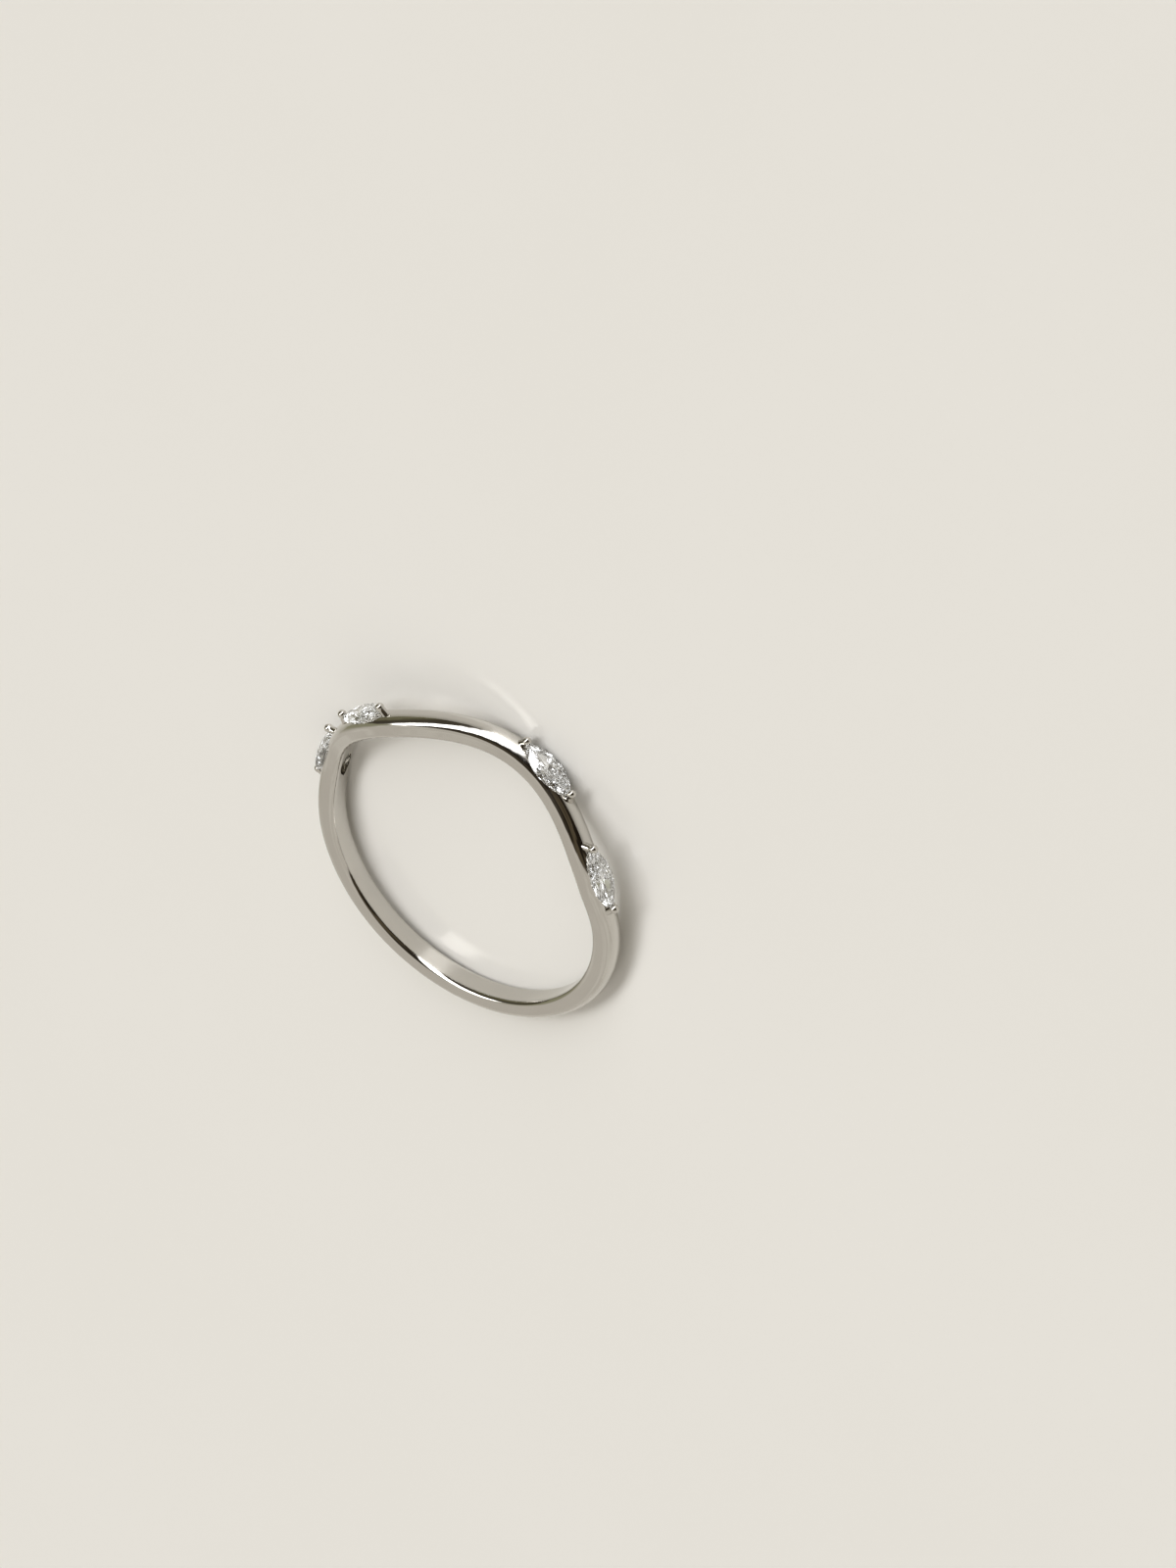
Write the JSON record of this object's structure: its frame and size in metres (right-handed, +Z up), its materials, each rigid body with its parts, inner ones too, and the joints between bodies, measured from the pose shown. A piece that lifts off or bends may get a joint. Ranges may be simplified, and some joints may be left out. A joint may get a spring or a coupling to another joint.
{
  "type": "wavy diamond ring with four marquise stones",
  "caption": "Slim ring with an S-shaped wavy band, domed outside and plain inside, set with marquise diamonds held by a claw at each tip; it lies on its side.",
  "frame": {"origin": "on the surface that the ring lies on, under the centre of the finger hole", "axes": "+Z up, the finger hole's axis leaning 2.66 degrees from it as the wavy ring rests; the stones are on the -Y side, diamond_1 on the +X side and diamond_4 on the -X side"},
  "size_m": [0.0198, 0.0188, 0.0029],
  "materials": {
    "white_gold": "polished",
    "diamond": "polished facets"
  },
  "bodies": {
    "root": {"band": "white_gold", "diamond_1": "diamond", "diamond_2": "diamond", "diamond_3": "diamond", "diamond_4": "diamond"}
  },
  "joints": []
}
